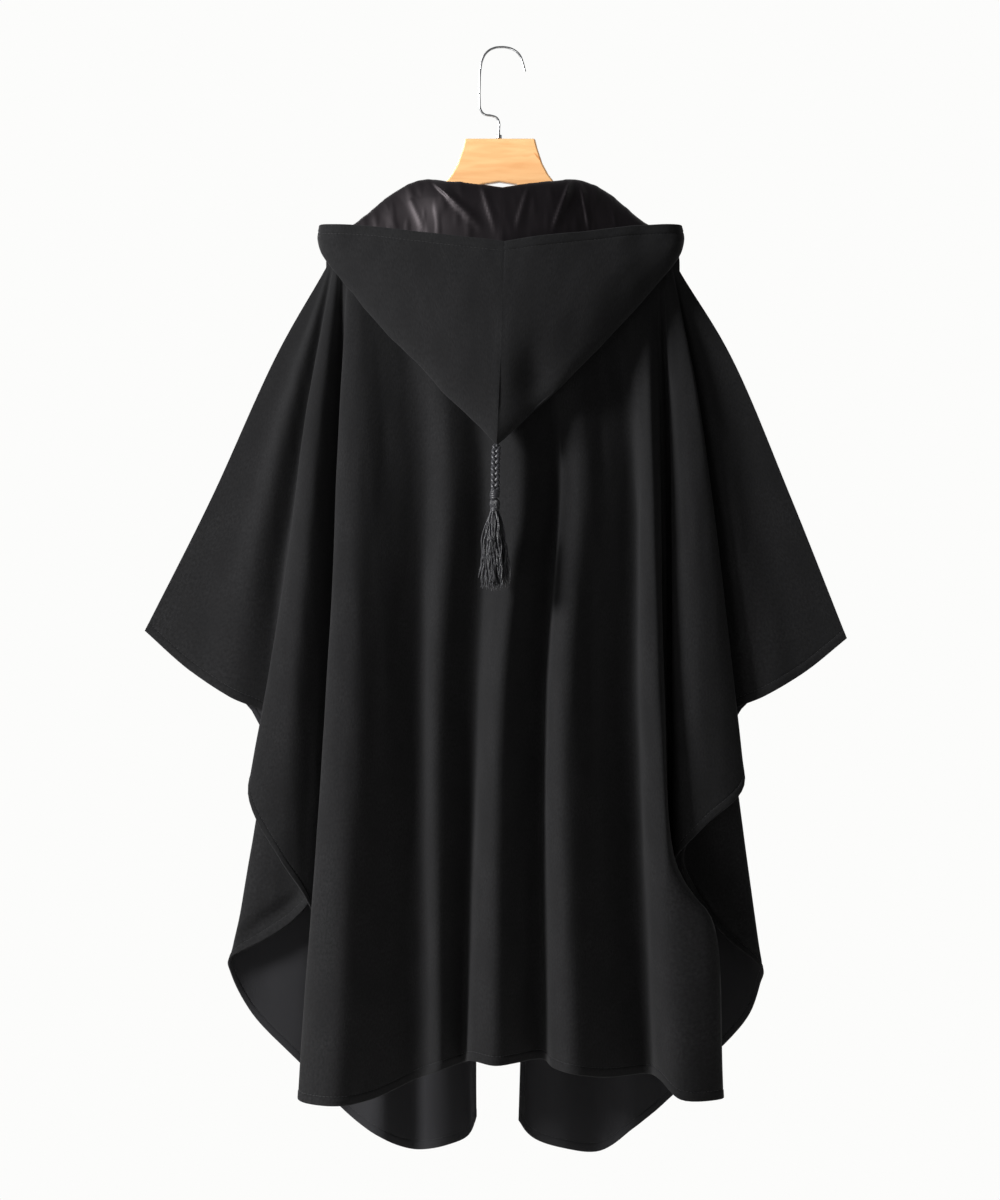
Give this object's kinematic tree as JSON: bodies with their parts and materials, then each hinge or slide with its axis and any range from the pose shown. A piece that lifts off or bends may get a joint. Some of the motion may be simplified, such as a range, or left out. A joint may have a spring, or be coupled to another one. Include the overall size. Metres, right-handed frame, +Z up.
{
  "type": "hooded poncho on a wooden hanger",
  "caption": "Long open-front hooded poncho with batwing sides, dropped pointed hood with a tassel, hung on a wooden hanger.",
  "frame": {"origin": "underside of the top bend of the hanger's hook, where a rail carries it", "axes": "+Z up; -Y towards the garment's back and the camera; +X to the right of someone who looks at the back"},
  "size_m": [0.8422, 0.1658, 1.3409],
  "materials": {
    "wool": "matte woolly woven",
    "satin": "shiny satin lining",
    "rayon": "soft shine yarn",
    "wood": "clear lacquer",
    "steel": "plated wire"
  },
  "bodies": {
    "root": {"back_panel": "wool", "front_panel_left": "wool", "front_panel_right": "wool", "hood_left": "wool", "hood_right": "wool", "hood_lining_left": "satin", "hood_lining_right": "satin", "tassel_cord": "rayon", "tassel": "rayon", "hanger_board": "wood", "hanger_hook": "steel"}
  },
  "joints": []
}
